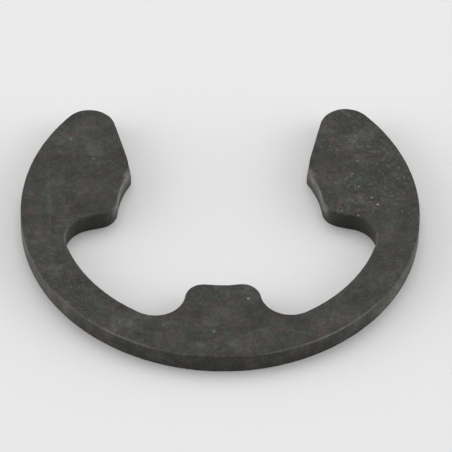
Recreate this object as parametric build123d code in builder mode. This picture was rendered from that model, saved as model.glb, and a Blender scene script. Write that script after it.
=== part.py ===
"""E clip: a flat retaining ring, blanked from spring steel in one stroke.

It is pushed sideways onto a shaft and snaps into a groove. The band is the spring. Three seats
grip the bottom of the groove: one on each arm, and one on the lug opposite the mouth.

Frame: origin on the groove's axis at the underside of the clip, +Z up through the thickness,
+Y towards the mouth and -Y towards the lug. The clip lies flat on its underside.
"""
from build123d import *
from math import acos, asin, atan2, cos, degrees, radians, sin
import os

# Driving dimensions, in mm and degrees
outside_diameter = 29.0      # of the band, and of the arms' heads that continue its circle
groove_diameter = 15.0       # of the three seats, as large as the bottom of the shaft's groove
stock_thickness = 1.5        # of the spring-steel strip
band_width = 2.8             # of the spring band, along the two bays
nose_catch = 1.1             # how far each nose's sharp corner stands in from the groove's full width
lead_in_angle = 14.0         # each lead-in edge to the centreline, opening outwards
seat_foot_drop = 0.2         # the lower corners of the arms' seats, below the groove's axis
shoulder_slope = 15.5        # the underside of each head, falling outwards to the band
lug_width = 4.8              # of the lug at its seat, between sharp corners
lug_side_angle = 12.0        # each side of the lug to the centreline, wider at the band
head_corner_radius = 1.95    # where a lead-in edge meets the outside circle
nose_radius = 0.5            # where a lead-in edge meets the arm's seat
seat_foot_radius = 1.5       # where the arm's seat meets the shoulder
lug_corner_radius = 1.35     # where the lug's seat meets its sides
bay_corner_radius = 2.15     # in the four corners of the two bays
die_roll_radius = 0.1        # upper edge, drawn down by the die
burr_side_radius = 0.06      # lower edge, left crisp and only tumbled

# Derived sizes
outside_radius = outside_diameter / 2
seat_radius = groove_diameter / 2
bay_radius = outside_radius - band_width
bay_depth = bay_radius - seat_radius
mouth_width = groove_diameter - 2 * nose_catch
nose_angle = degrees(acos(mouth_width / groove_diameter))
seat_foot_angle = -degrees(asin(seat_foot_drop / seat_radius))
lug_corner_angle = -degrees(acos(lug_width / groove_diameter))

# Corner radii, held to the room that the bay and the lug leave them
seat_foot_rounding = min(seat_foot_radius, 0.4 * bay_depth)
lug_rounding = min(lug_corner_radius, 0.33 * bay_depth, 0.4 * lug_width)
bay_rounding = min(bay_corner_radius, 0.52 * bay_depth)


def on_circle(radius, angle):
    """The point of a circle about the groove's axis, at an angle from +X."""
    return Vector(radius * cos(radians(angle)), radius * sin(radians(angle)))


def out_to_circle(start, heading, radius):
    """Where a straight edge from start meets a larger circle about the groove's axis."""
    run = Vector(cos(radians(heading)), sin(radians(heading)))
    across = start.dot(run)
    length = (across**2 - start.dot(start) + radius**2) ** 0.5 - across
    return start + run * length


def angle_of(point):
    """The angle of a point about the groove's axis, from +X."""
    return degrees(atan2(point.Y, point.X))


def both_sides(corner):
    """The vertices of the outline at a corner of its right half and at its mirror image."""
    places = [Vector(side * corner.X, corner.Y) for side in (-1, 1)]
    return [vertices().sort_by_distance(place)[0] for place in places]


# Sharp corners of the outline's right half
nose = on_circle(seat_radius, nose_angle)
head_corner = out_to_circle(nose, 90 - lead_in_angle, outside_radius)
seat_foot = on_circle(seat_radius, seat_foot_angle)
shoulder_end = out_to_circle(seat_foot, -shoulder_slope, bay_radius)
lug_corner = on_circle(seat_radius, lug_corner_angle)
lug_root = out_to_circle(lug_corner, lug_side_angle - 90, bay_radius)
bay_start_angle, bay_end_angle = angle_of(shoulder_end), angle_of(lug_root)

with BuildPart() as e_clip:
    with BuildSketch() as blank:
        with BuildLine() as right_half:
            rim = CenterArc((0, 0), outside_radius, -90, 90 + angle_of(head_corner))
            Line(head_corner, nose)
            CenterArc((0, 0), seat_radius, nose_angle, seat_foot_angle - nose_angle)
            Line(seat_foot, shoulder_end)
            CenterArc((0, 0), bay_radius, bay_start_angle, bay_end_angle - bay_start_angle)
            Line(lug_root, lug_corner)
            lug_seat = CenterArc((0, 0), seat_radius, lug_corner_angle, -90 - lug_corner_angle)
            Line(lug_seat @ 1, rim @ 0)
        make_face()
        mirror(about=Plane.YZ)

        fillet(both_sides(head_corner), head_corner_radius)
        fillet(both_sides(nose), nose_radius)
        fillet(both_sides(seat_foot), seat_foot_rounding)
        fillet(both_sides(shoulder_end) + both_sides(lug_root), bay_rounding)
        fillet(both_sides(lug_corner), lug_rounding)
    extrude(amount=stock_thickness)

    # The die draws the upper edge down into a small roll, and tumbling breaks the lower one
    fillet(faces().sort_by(Axis.Z)[-1].edges(), die_roll_radius)
    fillet(faces().sort_by(Axis.Z)[0].edges(), burr_side_radius)

e_clip.part.label = "e_clip"

os.makedirs("parts", exist_ok=True)
export_step(e_clip.part, "parts/e_clip.step")
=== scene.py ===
"""The looks of an e clip in blackened spring steel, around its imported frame.

Everything is in metres in the row's frame: the clip lies on z = 0, its mouth towards +Y.
"""
from math import atan2, cos, pi, radians, sin

import bmesh
import bpy
from mathutils import Matrix, Vector


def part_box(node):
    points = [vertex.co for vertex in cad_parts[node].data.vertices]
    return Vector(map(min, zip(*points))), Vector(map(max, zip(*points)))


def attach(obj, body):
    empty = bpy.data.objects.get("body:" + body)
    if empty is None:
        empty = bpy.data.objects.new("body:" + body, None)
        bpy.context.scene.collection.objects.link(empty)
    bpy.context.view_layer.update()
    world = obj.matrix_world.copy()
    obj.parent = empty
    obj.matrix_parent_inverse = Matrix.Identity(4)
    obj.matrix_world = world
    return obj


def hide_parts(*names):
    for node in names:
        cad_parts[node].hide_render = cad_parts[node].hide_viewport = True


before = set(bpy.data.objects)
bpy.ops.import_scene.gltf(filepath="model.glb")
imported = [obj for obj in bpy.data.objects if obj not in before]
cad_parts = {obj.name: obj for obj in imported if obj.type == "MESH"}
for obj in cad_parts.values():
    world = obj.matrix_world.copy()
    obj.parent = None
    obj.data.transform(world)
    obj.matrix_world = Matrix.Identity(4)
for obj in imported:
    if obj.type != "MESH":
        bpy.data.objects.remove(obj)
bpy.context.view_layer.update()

MM = 0.001
SCENE = bpy.context.scene
CLIP_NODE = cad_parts["e_clip"]
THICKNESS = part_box("e_clip")[1].z

# The edge's section
SPACING = 0.1 * MM            # between sections along the outline
FLAT_BORDER = 0.4 * MM        # how far in from the outline the sections reach on both faces
FRACTURE_SHARE = 0.5          # of the wall, from its foot, that tore and did not shear
FRACTURE_SETBACK = 0.012 * MM
NOSE_ROLL = 0.13 * MM         # how far the punch drew each nose's sharp corner down
NOSE_ROLL_REACH = 1.3 * MM
RIM_WEAR = 0.012 * MM         # most that tumbling took off a rim
DING_DEPTH = 0.04 * MM

# The finish, its places and sizes in millimetres. A pair is where a zone begins and where it is full.
OUTER_WALL = (13.6, 14.0)     # radii
SEAT_WALL = (8.0, 7.6)        # radii
BEHIND_LUG = (-3.0, 0.0)      # y, towards the heads
COAT_GREEN = (0.026, 0.034, 0.023, 1)
COAT_RED = (0.041, 0.030, 0.028, 1)
COAT_BLUE = (0.028, 0.029, 0.034, 1)
# Painted shade: the greenish near-black laid over the shoulder walls under the heads
SHOULDER_PAINTED_SHADE = (0.016, 0.018, 0.011, 1)
HAZE_GREY = (0.17, 0.175, 0.16, 1)
DUST_GREY = (0.22, 0.24, 0.20, 1)
BARE_STEEL = (0.50, 0.47, 0.42, 1)
CLOUD_CONTRAST = 4.8
WALL_CONTRAST = 1.2
# Painted shade on every wall, and painted side light on the outer walls at the flanks
WALL_PAINTED_SHADE = 0.05
FLANK_PAINTED_LIGHT = 0.5
HAZE_STRENGTH = 0.22
DUST_STRENGTH = 0.6
RIM_BARE = 0.34
SEAT_BARE = 0.3
CHIP_BARE = 0.4
SCRATCH_BARE = 0.05
COAT_ROUGHNESS = 0.58
COAT_GLOSS = 0.3
BUMP_DEPTH = 0.006 * MM
CHIPS = [  # x, y, radius and strength of the larger chips in the coat
    (9.75, 3.45, 0.13, 0.5), (10.15, 2.15, 0.13, 0.6), (11.05, 1.05, 0.13, 0.9), (11.45, 0.35, 0.14, 1.0),
    (10.0, -0.75, 0.12, 0.7), (8.8, -0.3, 0.12, 0.4), (1.8, -8.85, 0.14, 1.0), (-0.7, -12.0, 0.12, 0.7),
    (-9.2, 5.1, 0.13, 0.5), (-10.85, 7.15, 0.14, 0.5),
]
SMEARS = [  # centre, half length and width, and turn in degrees
    ((9.9, 0.8), (1.7, 0.7), -15), ((2.2, -12.2), (1.4, 0.5), 20), ((0.8, -13.1), (1.0, 0.5), 25),
    ((-9.1, 6.0), (0.9, 1.6), 20), ((-11.5, 5.9), (0.6, 0.5), 0), ((10.6, 7.4), (2.4, 1.2), 40),
    ((-1.7, -13.2), (0.7, 0.5), 0), ((-6.8, -11.2), (1.5, 0.6), -30),
]
LONG_SCRATCH = ((-12.45, 1.4), (0.2, 4.5), 1)
SCRATCH_SETS = [(0, 0.2, 31), (80, 0.2, 37), (25, 0.16, 43)]  # turn, width and seed

# The studio
FLOOR_SIDE = 3.0
FLOOR_GAP = 0.005 * MM
SKY_ALL_ROUND = 0.19
SKY_OVERHEAD = 0.2
SKY_SIDES = 7.2
SKY_SIDE_FOCUS = 8
SKY_BACK = 0.5
FLOOR_COLOUR = (0.80, 0.80, 0.80, 1)
LAMP_SIDE = 0.5
LAMP_HEIGHT = 0.55
LAMP_BACK = 0.3
LAMP_POWER = 1.1

# The camera, aimed at the middle of the clip's underside and then moved aside
VIEW_ELEVATION = 46.72
VIEW_TURN = 2.38
VIEW_ROLL = -1.47
VIEW_DISTANCE = 353.71 * MM
VIEW_RIGHT = 0.436 * MM
VIEW_UP = -0.239 * MM
SENSOR = 36.0
LENS = 386.8

# The attribute that the sweep leaves on the mesh: how far in from the outline a point lies, in millimetres
INSET = "inset_mm"


# ---------------------------------------------------------------- node graphs


class Value:
    """A node's output, or a number, that Python's operators turn into Math nodes."""

    def __init__(self, graph, socket):
        self.graph = graph
        self.socket = socket

    def math(self, operation, *others):
        return self.graph.node("ShaderNodeMath", {"operation": operation}, dict(enumerate([self, *others])))

    def __add__(self, other):
        return self.math("ADD", other)

    def __sub__(self, other):
        return self.math("SUBTRACT", other)

    def __mul__(self, other):
        return self.math("MULTIPLY", other)

    def __truediv__(self, other):
        return self.math("DIVIDE", other)

    def __pow__(self, other):
        return self.math("POWER", other)

    def __rsub__(self, other):
        return self.graph.node("ShaderNodeMath", {"operation": "SUBTRACT"}, {0: other, 1: self})

    __radd__ = __add__
    __rmul__ = __mul__

    def absolute(self):
        return self.math("ABSOLUTE")

    def larger(self, other):
        return self.math("MAXIMUM", other)

    def ramp(self, low, high):
        """0 below low, 1 above high and smooth between; falls instead where low is above high."""
        settings = {"interpolation_type": "SMOOTHSTEP"}
        if low < high:
            return self.graph.node("ShaderNodeMapRange", settings, {0: self, 1: low, 2: high, 3: 0.0, 4: 1.0})
        return self.graph.node("ShaderNodeMapRange", settings, {0: self, 1: high, 2: low, 3: 1.0, 4: 0.0})


class Graph:
    """A shader or geometry node tree, with one method that adds any node."""

    def __init__(self, tree):
        self.tree = tree

    def node(self, kind, settings=None, inputs=None, output=0):
        """Adds a node, sets it up, fills its sockets by name or number, and gives back one output."""
        node = self.tree.nodes.new(kind)
        for name, setting in (settings or {}).items():
            setattr(node, name, setting)
        for name, value in (inputs or {}).items():
            if isinstance(value, Value):
                self.tree.links.new(value.socket, node.inputs[name])
            else:
                node.inputs[name].default_value = value
        return Value(self, node.outputs[output]) if node.outputs else None

    def join(self, *parts):
        """Several geometries as one."""
        joined = self.node("GeometryNodeJoinGeometry")
        for part in parts:
            self.tree.links.new(part.socket, joined.socket.node.inputs["Geometry"])
        return joined

    def both(self, value, output):
        """Another output of the node that a value came from."""
        return Value(self, value.socket.node.outputs[output])

    def mix_colour(self, factor, first, second):
        return self.node("ShaderNodeMix", {"data_type": "RGBA"}, {0: factor, 6: first, 7: second}, output=2)

    def mix_tone(self, colour, tone):
        """A colour made lighter or darker by a factor."""
        return self.vector("SCALE", colour, Scale=tone)

    def vector(self, operation, first, second=None, output=0, **inputs):
        places = {0: first} if second is None else {0: first, 1: second}
        places.update(inputs)
        return self.node("ShaderNodeVectorMath", {"operation": operation}, places, output)


# ---------------------------------------------------------------- the outline


def outline_of(node):
    """The clip's outline, counter-clockwise, with the heights of its upright wall's foot and head."""
    mesh = bmesh.new()
    mesh.from_mesh(node.data)
    bmesh.ops.remove_doubles(mesh, verts=mesh.verts, dist=1e-7)
    wall = [face for face in mesh.faces if abs(face.normal.z) < 0.01]
    heights = [vertex.co.z for face in wall for vertex in face.verts]
    foot, head = min(heights), max(heights)
    low_edges = {
        edge for face in wall for edge in face.edges if all(v.co.z < foot + 1e-7 for v in edge.verts)
    }
    start = min({vertex for edge in low_edges for vertex in edge.verts}, key=lambda v: (v.co.y, v.co.x))
    loop, edge, vertex = [], None, start
    while vertex is not start or not loop:
        loop.append(Vector((vertex.co.x, vertex.co.y, 0)))
        edge = next(e for e in vertex.link_edges if e in low_edges and e is not edge)
        vertex = edge.other_vert(vertex)
    mesh.free()
    area = sum(a.x * b.y - b.x * a.y for a, b in zip(loop, loop[1:] + loop[:1]))
    return (loop if area > 0 else loop[::-1]), foot, head


def smooth_outline(points):
    """A closed Bezier curve through the points, running round each arc that they lie on."""
    curve = bpy.data.curves.new("outline", "CURVE")
    curve.dimensions = "3D"
    spline = curve.splines.new("BEZIER")
    spline.bezier_points.add(len(points) - 1)
    spline.use_cyclic_u = True
    spline.resolution_u = 8
    for i, point in enumerate(points):
        before, after = points[i - 1], points[(i + 1) % len(points)]
        tangent = (after - before).normalized()
        knot = spline.bezier_points[i]
        knot.handle_left_type = knot.handle_right_type = "FREE"
        knot.co = point
        knot.handle_left = point - tangent * (point - before).length / 3
        knot.handle_right = point + tangent * (after - point).length / 3
    piece = bpy.data.objects.new("outline", curve)
    SCENE.collection.objects.link(piece)
    return piece


def section_curve(stations):
    """An open curve across the clip's edge, from steps (outwards, upwards). A sweep lays its y downwards."""
    curve = bpy.data.curves.new("section", "CURVE")
    curve.dimensions = "3D"
    spline = curve.splines.new("POLY")
    spline.points.add(len(stations) - 1)
    for point, (outward, up) in zip(spline.points, stations):
        point.co = (outward, -up, 0, 1)
    piece = bpy.data.objects.new("section", curve)
    SCENE.collection.objects.link(piece)
    return piece


# ---------------------------------------------------------------- the clip's shape


def edge_section(thickness, foot, head):
    """The clip's edge from underside to upper face, with the flat border that each face keeps beside it."""
    roll = thickness - head
    rounding_steps = 6
    wall_steps = 12
    fracture_top = foot + FRACTURE_SHARE * (head - foot)
    border = [FLAT_BORDER, 0.7 * FLAT_BORDER, 0.45 * FLAT_BORDER]
    stations = [(-inset, 0.0) for inset in border]
    for step in range(rounding_steps):
        turn = pi / 2 * step / rounding_steps
        stations.append((foot * (sin(turn) - 1), foot * (1 - cos(turn))))
    for step in range(wall_steps + 1):
        height = foot + (head - foot) * step / wall_steps
        below = max(0.0, fracture_top - height) / (fracture_top - foot)
        stations.append((-FRACTURE_SETBACK * below, height))
    for step in range(1, rounding_steps + 1):
        turn = pi / 2 * step / rounding_steps
        stations.append((roll * (cos(turn) - 1), head + roll * sin(turn)))
    stations += [(-inset, thickness) for inset in reversed(border)]
    return stations


def rolled_noses(graph, solid, given):
    """Draws the upper face down and in at both noses, as the punch does at a sharp corner."""
    position = graph.node("GeometryNodeInputPosition")
    flat = graph.vector("MULTIPLY", graph.vector("ABSOLUTE", position), (1, 1, 0))
    from_nose = graph.vector("DISTANCE", flat, given["Nose"], output="Value")
    share = graph.vector("DOT_PRODUCT", position, (0, 0, 1), output="Value") / given["Thickness"]
    depth = given["Nose roll"] * from_nose.ramp(NOSE_ROLL_REACH, 0) * share ** 3
    inwards = graph.vector("SCALE", graph.node("GeometryNodeInputNormal"), Scale=depth * -1)
    return graph.node("GeometryNodeSetPosition", inputs={"Geometry": solid, "Offset": inwards})


def tumbled(graph, solid, given):
    """Rubs the rims unevenly and dents them here and there, always into the metal."""
    place = graph.vector("SCALE", graph.node("GeometryNodeInputPosition"), Scale=1 / MM)
    inset = graph.node("GeometryNodeInputNamedAttribute", {"data_type": "FLOAT"}, {"Name": INSET})
    height = graph.vector("DOT_PRODUCT", place, (0, 0, 1), output="Value")
    on_rim = inset.ramp(0.36, 0.1) * (height - given["Thickness"] / (2 * MM)).absolute().ramp(0.45, 0.62)
    rub = graph.node("ShaderNodeTexNoise", {"noise_dimensions": "3D"},
                     {"Vector": place, "Scale": 2.2, "Detail": 3.0})
    cell = graph.node("ShaderNodeTexVoronoi", {"feature": "F1"},
                      {"Vector": place, "Scale": 0.45}, output="Distance")
    lot = graph.vector("DOT_PRODUCT", graph.both(cell, "Color"), (1, 0, 0), output="Value")
    ding = cell.ramp(0.16, 0.02) * lot.ramp(0.55, 0.6)
    depth = on_rim * (given["Wear"] * rub.ramp(0.35, 0.75) + given["Ding depth"] * ding)
    normal = graph.node("GeometryNodeInputNormal")
    inwards = graph.vector("SCALE", normal, Scale=depth * -1)
    return graph.node("GeometryNodeSetPosition", inputs={"Geometry": solid, "Offset": inwards})


def sweep_tree():
    """Sweeps the section round the outline, closes both faces, and wears the edges."""
    tree = bpy.data.node_groups.new("swept_clip", "GeometryNodeTree")
    sockets = [("Outline", "Geometry"), ("Section", "Object"), ("Spacing", "Float"), ("Border", "Float"),
               ("Thickness", "Float"), ("Nose", "Vector"), ("Nose roll", "Float"), ("Wear", "Float"),
               ("Ding depth", "Float"), ("Material", "Material")]
    for name, kind in sockets:
        tree.interface.new_socket(name, in_out="INPUT", socket_type="NodeSocket" + kind)
    tree.interface.new_socket("Clip", in_out="OUTPUT", socket_type="NodeSocketGeometry")
    graph = Graph(tree)
    given = {name: graph.node("NodeGroupInput", output=i) for i, (name, _) in enumerate(sockets)}

    rail = graph.node("GeometryNodeResampleCurve", {"mode": "LENGTH"},
                      {"Curve": given["Outline"], "Length": given["Spacing"]})
    rail = graph.node("GeometryNodeSetCurveNormal", {"mode": "Z_UP"}, {"Curve": rail})
    section = graph.node("GeometryNodeObjectInfo", inputs={"Object": given["Section"]}, output="Geometry")
    position = graph.node("GeometryNodeInputPosition")
    inset = graph.vector("DOT_PRODUCT", position, (-1 / MM, 0, 0), output="Value")
    section = graph.node("GeometryNodeStoreNamedAttribute", {"data_type": "FLOAT", "domain": "POINT"},
                         {"Geometry": section, "Name": INSET, "Value": inset})
    wall = graph.node("GeometryNodeCurveToMesh",
                      inputs={"Curve": rail, "Profile Curve": section, "Fill Caps": False})
    wall = graph.node("GeometryNodeFlipFaces", inputs={"Mesh": wall})

    normal = graph.node("GeometryNodeInputNormal")
    inward = graph.vector("SCALE", normal, Scale=given["Border"] * -1)
    low = graph.node("GeometryNodeSetPosition", inputs={"Geometry": rail, "Offset": inward})
    low = graph.node("GeometryNodeFillCurve", {"mode": "TRIANGLES"}, {"Curve": low})
    up = graph.node("ShaderNodeCombineXYZ", inputs={"Z": given["Thickness"]})
    high = graph.node("GeometryNodeSetPosition", inputs={"Geometry": low, "Offset": up})
    low = graph.node("GeometryNodeFlipFaces", inputs={"Mesh": low})
    faces = graph.join(low, high)
    faces = graph.node("GeometryNodeStoreNamedAttribute", {"data_type": "FLOAT", "domain": "POINT"},
                       {"Geometry": faces, "Name": INSET, "Value": given["Border"] / MM})
    solid = graph.join(wall, faces)
    solid = graph.node("GeometryNodeMergeByDistance", inputs={"Geometry": solid, "Distance": 1e-7})
    solid = rolled_noses(graph, solid, given)
    solid = tumbled(graph, solid, given)
    solid = graph.node("GeometryNodeRealizeInstances", inputs={"Geometry": solid})
    solid = graph.node("GeometryNodeSetMaterial", inputs={"Geometry": solid, "Material": given["Material"]})
    graph.node("NodeGroupOutput", inputs={"Clip": solid})
    return tree


def make_clip(finish):
    """The clip as one mesh, swept along the frame's own outline."""
    points, foot, head = outline_of(CLIP_NODE)
    clip = smooth_outline(points)
    section = section_curve(edge_section(THICKNESS, foot, head))
    nose = min((point for point in points if point.y > 0), key=lambda point: abs(point.x))
    tree = sweep_tree()
    sizes = {"Section": section, "Spacing": SPACING, "Border": FLAT_BORDER, "Thickness": THICKNESS,
             "Nose": (abs(nose.x), nose.y, 0), "Nose roll": NOSE_ROLL, "Wear": RIM_WEAR,
             "Ding depth": DING_DEPTH, "Material": finish}
    sweep = clip.modifiers.new("sweep", "NODES")
    sweep.node_group = tree
    for socket in tree.interface.items_tree:
        if socket.name in sizes:
            sweep[socket.identifier] = sizes[socket.name]
    shape = bpy.data.meshes.new_from_object(clip.evaluated_get(bpy.context.evaluated_depsgraph_get()))
    bpy.data.objects.remove(clip)
    bpy.data.objects.remove(section)
    shape.name = "clip"
    shape.shade_smooth()
    piece = bpy.data.objects.new("clip", shape)
    SCENE.collection.objects.link(piece)
    return piece


# ---------------------------------------------------------------- finishes


class Surface(Graph):
    """A material's graph over the clip, with its coordinates in millimetres."""

    def __init__(self, name):
        self.material = bpy.data.materials.new(name)
        self.material.use_nodes = True
        self.material.node_tree.nodes.clear()
        super().__init__(self.material.node_tree)
        self.place = self.vector("SCALE", self.node("ShaderNodeTexCoord", output="Object"), Scale=1 / MM)
        self.x, self.y, self.z = (
            self.vector("DOT_PRODUCT", self.place, axis, output="Value")
            for axis in ((1, 0, 0), (0, 1, 0), (0, 0, 1))
        )
        self.radius = self.vector("LENGTH", self.vector("MULTIPLY", self.place, (1, 1, 0)), output="Value")
        self.inset = self.node("ShaderNodeAttribute", {"attribute_name": INSET}, output="Fac")

    def laid(self, size, turn=0.0, centre=(0, 0, 0)):
        """Coordinates about a centre, turned by some degrees and counted in steps of a size."""
        inputs = {"Vector": self.place, "Location": centre, "Rotation": (0, 0, radians(turn)), "Scale": size}
        return self.node("ShaderNodeMapping", {"vector_type": "TEXTURE"}, inputs)

    def noise(self, size, detail=0.0, evenness=0.5, turn=0.0, seed=0.0):
        """Noise about 0, its coarsest blots size mm across. Evenness is each finer octave's share."""
        size = size if isinstance(size, tuple) else (size, size, size)
        inputs = {"Vector": self.laid(size, turn, (seed, 2 * seed, 3 * seed)), "Scale": 1.0,
                  "Detail": detail, "Roughness": evenness}
        return self.node("ShaderNodeTexNoise", {"noise_dimensions": "3D"}, inputs) - 0.5

    def spots(self, spacing, share, radius, seed=0.0):
        """Round spots in a share of the cells of a loose net."""
        where = self.laid((spacing,) * 3, 0, (seed, seed, 0))
        near = self.node("ShaderNodeTexVoronoi", {"feature": "F1"},
                         {"Vector": where, "Scale": 1.0}, output="Distance")
        lot = self.vector("DOT_PRODUCT", self.both(near, "Color"), (1, 0, 0), output="Value")
        return near.ramp(radius / spacing, 0.4 * radius / spacing) * lot.ramp(1 - share, 1 - 0.8 * share)

    def patch(self, centre, size, turn=0.0, soft=0.7):
        """1 in the middle of an ellipse on the upper face and 0 outside it."""
        x, y = centre
        where = self.laid((size[0], size[1], 1), turn, (x, y, 0))
        reach = self.vector("LENGTH", self.vector("MULTIPLY", where, (1, 1, 0)), output="Value")
        return reach.ramp(1.0, 1.0 - soft) * self.z.ramp(1.3, 1.45)

    def finish(self, **sockets):
        shader = self.node("ShaderNodeBsdfPrincipled",
                           inputs={name.replace("_", " "): value for name, value in sockets.items()})
        self.node("ShaderNodeOutputMaterial", inputs={"Surface": shader})
        return self.material


def coat_colour(surface):
    """A conversion coat's near-black, drifting between greenish, reddish and bluish."""
    hue = surface.noise(0.9, detail=2, evenness=0.8, seed=3)
    blue = surface.noise(0.8, detail=2, evenness=0.8, seed=8)
    colour = surface.mix_colour(hue.ramp(-0.2, 0.2), COAT_GREEN, COAT_RED)
    colour = surface.mix_colour(blue.ramp(-0.05, 0.3), colour, COAT_BLUE)
    clouds = surface.noise(2.0, detail=5, evenness=0.95, seed=5)
    return surface.mix_tone(colour, (clouds * CLOUD_CONTRAST).math("EXPONENT"))


def handled_haze(surface):
    """Where grease and dust greyed the upper face: broad, faint, broken patches."""
    broken = surface.noise(0.9, detail=4, evenness=0.8, seed=11).ramp(-0.14, 0.18)
    total = surface.patch(*SMEARS[0])
    for smear in SMEARS[1:]:
        total = total.larger(surface.patch(*smear))
    return total * broken


def dust(surface):
    """Pale flecks caught in the coat, thickest on the right-hand head and thin on the left-hand limb."""
    right_head = surface.x.ramp(6.5, 9.0) * surface.y.ramp(*BEHIND_LUG)
    left_limb = surface.x.ramp(-8.5, -10.0) * surface.y.ramp(1.0, -3.0)
    front_left = surface.patch((-7.5, -12.3), (3.2, 0.9), -32)
    crowding = (0.25 + 0.75 * right_head + 0.4 * left_limb + 0.9 * front_left) * surface.z.ramp(0.6, 1.3)
    flecks = surface.noise(0.28, detail=3, evenness=0.9, seed=19).ramp(0.02, 0.26)
    return flecks * crowding * surface.noise(2.0, detail=2, seed=23).ramp(-0.3, 0.1)


def chips(surface):
    """Bright pinpricks where the coat is chipped."""
    lot = surface.noise(1.5, seed=2).ramp(-0.1, 0.25)
    total = surface.spots(0.5, share=0.12, radius=0.06, seed=2) * lot * 0.6
    for x, y, radius, strength in CHIPS:
        total = total.larger(surface.patch((x, y), (radius, radius)) * strength)
    return total


def hairlines(surface):
    """Fine straight scratches, in a few directions, that come and go."""
    broken = surface.noise(0.7, detail=3, evenness=0.8, seed=29).ramp(-0.15, 0.15)
    total = surface.patch(*LONG_SCRATCH) * broken
    for turn, width, seed in SCRATCH_SETS:
        lines = surface.noise((6.0, width, 6.0), detail=2, turn=turn, seed=seed).ramp(0.14, 0.3)
        total = total.larger(lines * surface.noise(2.2, seed=seed + 4).ramp(0.0, 0.2))
    return total * surface.z.ramp(1.4, 1.48)


def rim_wear(surface):
    """How bare the upper rim's roll is rubbed: either side of the front, at the bays' ends and the noses."""
    on_roll = surface.inset.ramp(0.16, 0.04) * surface.z.ramp(1.39, 1.46)
    beads = surface.noise(0.35, detail=3, evenness=1.0, seed=14).ramp(0.02, 0.28)
    runs = surface.noise(2.2, seed=15).ramp(-0.2, 0.15)
    across = surface.x.absolute()
    outside = surface.radius.ramp(*OUTER_WALL)
    on_outline = outside * surface.y.ramp(-7.5, -10.0) * across.ramp(1.0, 5.0)
    left_bay_end = surface.patch((-11.3, -3.0), (0.9, 1.6))
    right_bay_end = surface.patch((11.3, -3.0), (0.7, 1.2)) * 0.5
    at_bay_ends = left_bay_end.larger(right_bay_end)
    at_noses = surface.radius.ramp(8.3, 7.7) * surface.y.ramp(*BEHIND_LUG)
    where = on_outline.larger(at_bay_ends * (1 - outside)).larger(at_noses)
    return on_roll * where * (0.2 + 0.25 * runs + 0.9 * beads * runs)


def seat_wear(surface):
    """The seats rub on their groove: bare, warm and patchy, most towards the upper rim."""
    on_seat = surface.radius.ramp(*SEAT_WALL) * surface.z.ramp(1.5, 1.42)
    broken = surface.noise(0.6, detail=4, evenness=0.8, seed=17).ramp(-0.15, 0.2)
    return on_seat * surface.z.ramp(0.2, 1.3) * (0.3 + 0.7 * broken)


def black_phosphate():
    """The clip's finish: a dark, matte coat over spring steel, bare where it rubs, with painted shade on its
    walls and painted side light on its flanks.
    """
    surface = Surface("black_phosphate")
    colour = coat_colour(surface)
    wall = surface.z.ramp(1.46, 1.38) * surface.z.ramp(0.01, 0.05)
    shoulder_shade_mask = surface.radius.ramp(7.9, 8.5) * surface.radius.ramp(13.6, 13.2) * surface.y.ramp(-3.2, -1.6)
    streaks = surface.noise((0.2, 0.2, 1.2), detail=3, evenness=0.8, seed=21)
    # The streaks are the wall's own; the rest is painted light: every wall a little darker, the outer walls
    # at the flanks lighter
    flank_light_mask = surface.radius.ramp(*OUTER_WALL) * surface.x.absolute().ramp(7.5, 13.5)
    wall_streaks_and_painted_light = streaks * WALL_CONTRAST + flank_light_mask * FLANK_PAINTED_LIGHT - WALL_PAINTED_SHADE
    colour = surface.mix_tone(colour, (wall * wall_streaks_and_painted_light).math("EXPONENT"))
    # Painted shade on the shoulder walls under the heads
    colour = surface.mix_colour(wall * shoulder_shade_mask * 0.7, colour, SHOULDER_PAINTED_SHADE)
    haze = handled_haze(surface)
    flecks = dust(surface)
    colour = surface.mix_colour(haze * HAZE_STRENGTH, colour, HAZE_GREY)
    colour = surface.mix_colour(flecks * DUST_STRENGTH, colour, DUST_GREY)
    scratches = hairlines(surface)
    bare = (rim_wear(surface) * RIM_BARE).larger(seat_wear(surface) * SEAT_BARE)
    bare = bare.larger(chips(surface) * CHIP_BARE).larger(scratches * SCRATCH_BARE)
    colour = surface.mix_colour(bare, colour, BARE_STEEL)
    grain = surface.noise(0.16, detail=2, evenness=0.7, seed=25)
    rough = COAT_ROUGHNESS + grain * 0.25 - haze * 0.06 - bare * 0.2
    height = grain * 0.4 + surface.noise(0.9, detail=3, seed=28) + streaks * wall * 0.8 - scratches * 0.3
    bump = surface.node("ShaderNodeBump", inputs={"Strength": 1.0, "Distance": BUMP_DEPTH, "Height": height})
    return surface.finish(Base_Color=colour, Roughness=rough, Metallic=bare * 0.7,
                          Specular_IOR_Level=COAT_GLOSS, Normal=bump)


# ---------------------------------------------------------------- the studio


def floor_finish():
    """Matte pale card."""
    material = bpy.data.materials.new("pale_floor")
    material.use_nodes = True
    material.node_tree.nodes.clear()
    graph = Graph(material.node_tree)
    shader = graph.node("ShaderNodeBsdfDiffuse", inputs={"Color": FLOOR_COLOUR})
    graph.node("ShaderNodeOutputMaterial", inputs={"Surface": shader})
    return material


def make_floor():
    """A pale sheet, just under the clip."""
    mesh = bpy.data.meshes.new("floor")
    half = FLOOR_SIDE / 2
    corners = [(-half, -half), (half, -half), (half, half), (-half, half)]
    mesh.from_pydata([(x, y, -FLOOR_GAP) for x, y in corners], [], [(0, 1, 2, 3)])
    mesh.materials.append(floor_finish())
    floor = bpy.data.objects.new("floor", mesh)
    SCENE.collection.objects.link(floor)


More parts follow.
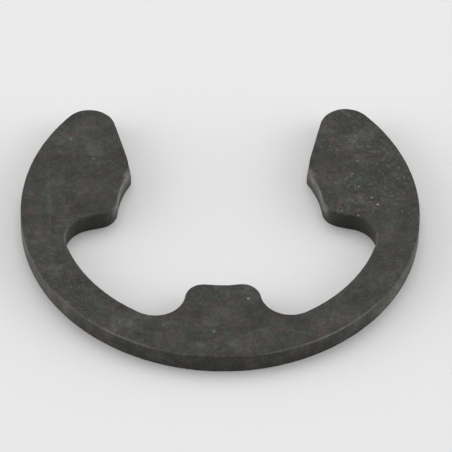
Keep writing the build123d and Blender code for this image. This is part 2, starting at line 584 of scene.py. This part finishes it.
def make_sky():
    """Soft light from all round, strongest at both sides and a little stronger behind the clip."""
    world = bpy.data.worlds.new("studio")
    SCENE.world = world
    world.use_nodes = True
    world.node_tree.nodes.clear()
    graph = Graph(world.node_tree)
    direction = graph.node("ShaderNodeTexCoord", output="Generated")
    sideways, back, up = (
        graph.vector("DOT_PRODUCT", direction, axis, output="Value")
        for axis in ((1, 0, 0), (0, 1, 0), (0, 0, 1))
    )
    level = SKY_ALL_ROUND + SKY_OVERHEAD * up.larger(0) + SKY_SIDES * sideways.absolute() ** SKY_SIDE_FOCUS
    level = level + SKY_BACK * back.larger(0)
    light = graph.node("ShaderNodeBackground", inputs={"Color": (1, 1, 1, 1), "Strength": level})
    graph.node("ShaderNodeOutputWorld", inputs={"Surface": light})


def make_lamp():
    """A large softbox, overhead and a little behind the clip."""
    lamp = bpy.data.lights.new("softbox", "AREA")
    lamp.shape = "SQUARE"
    lamp.size = LAMP_SIDE
    lamp.energy = LAMP_POWER
    piece = bpy.data.objects.new("softbox", lamp)
    tilt = Matrix.Rotation(-atan2(LAMP_BACK, LAMP_HEIGHT), 4, "X")
    piece.matrix_world = Matrix.Translation((0, LAMP_BACK, LAMP_HEIGHT)) @ tilt
    SCENE.collection.objects.link(piece)


def make_camera():
    """Looks down at the clip from the lug's side, a little to the left and a little turned."""
    tilt, turn, roll = radians(VIEW_ELEVATION), radians(VIEW_TURN), radians(VIEW_ROLL)
    right = Vector((1, 0, 0))
    up = Vector((0, sin(tilt), cos(tilt)))
    away = Vector((0, cos(tilt), -sin(tilt)))
    right, up = right * cos(roll) - up * sin(roll), right * sin(roll) + up * cos(roll)
    place = right * VIEW_RIGHT + up * VIEW_UP - away * VIEW_DISTANCE
    axes = Matrix((right, up, -away)).transposed().to_4x4()
    lens = bpy.data.cameras.new("camera")
    lens.sensor_width = SENSOR
    lens.lens = LENS
    lens.clip_start = 0.01
    camera = bpy.data.objects.new("camera", lens)
    camera.matrix_world = Matrix.Rotation(-turn, 4, "Z") @ Matrix.Translation(place) @ axes
    SCENE.collection.objects.link(camera)
    SCENE.camera = camera


def main():
    """Puts the finished clip on the frame's own body, and lights and frames it."""
    clip = make_clip(black_phosphate())
    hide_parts("e_clip")
    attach(clip, "root")
    make_floor()
    make_sky()
    make_lamp()
    make_camera()
    SCENE.view_settings.view_transform = "Standard"


main()
